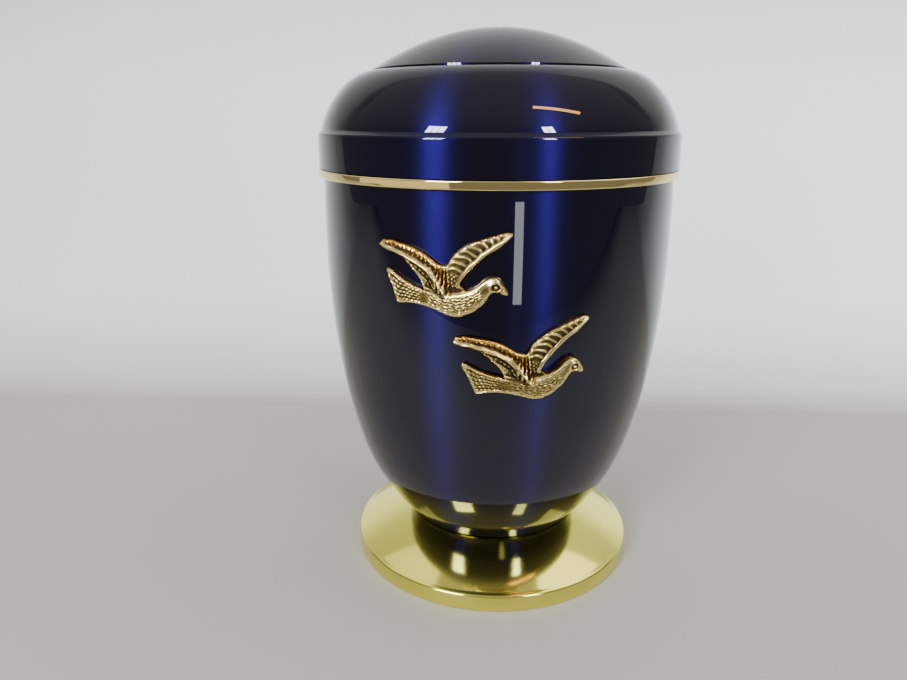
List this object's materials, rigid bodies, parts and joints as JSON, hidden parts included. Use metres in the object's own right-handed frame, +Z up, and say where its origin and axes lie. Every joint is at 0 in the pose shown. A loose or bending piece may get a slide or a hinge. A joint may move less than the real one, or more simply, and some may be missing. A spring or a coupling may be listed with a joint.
{
  "type": "funeral urn",
  "caption": "Lacquered metal urn with a lift-off domed lid, a brass trim band, cast flying doves on its front and a flared gold base.",
  "frame": {"origin": "middle of the flat underside, on the surface that the urn stands on", "axes": "+Z up along the axis that the urn is turned round, -Y out of the front that carries the doves, +X to the right as seen from the front"},
  "size_m": [0.19, 0.1917, 0.2904],
  "materials": {
    "gold": "polished, gold coloured",
    "blue_lacquer": "brushed under clear dark blue lacquer, high gloss",
    "polished_brass": "polished",
    "antique_brass": "cast, with dark recesses and rubbed highlights"
  },
  "bodies": {
    "root": {"base": "gold", "body": "blue_lacquer", "trim_band": "polished_brass", "lid": "blue_lacquer", "dove_upper": "antique_brass", "dove_lower": "antique_brass"}
  },
  "joints": []
}
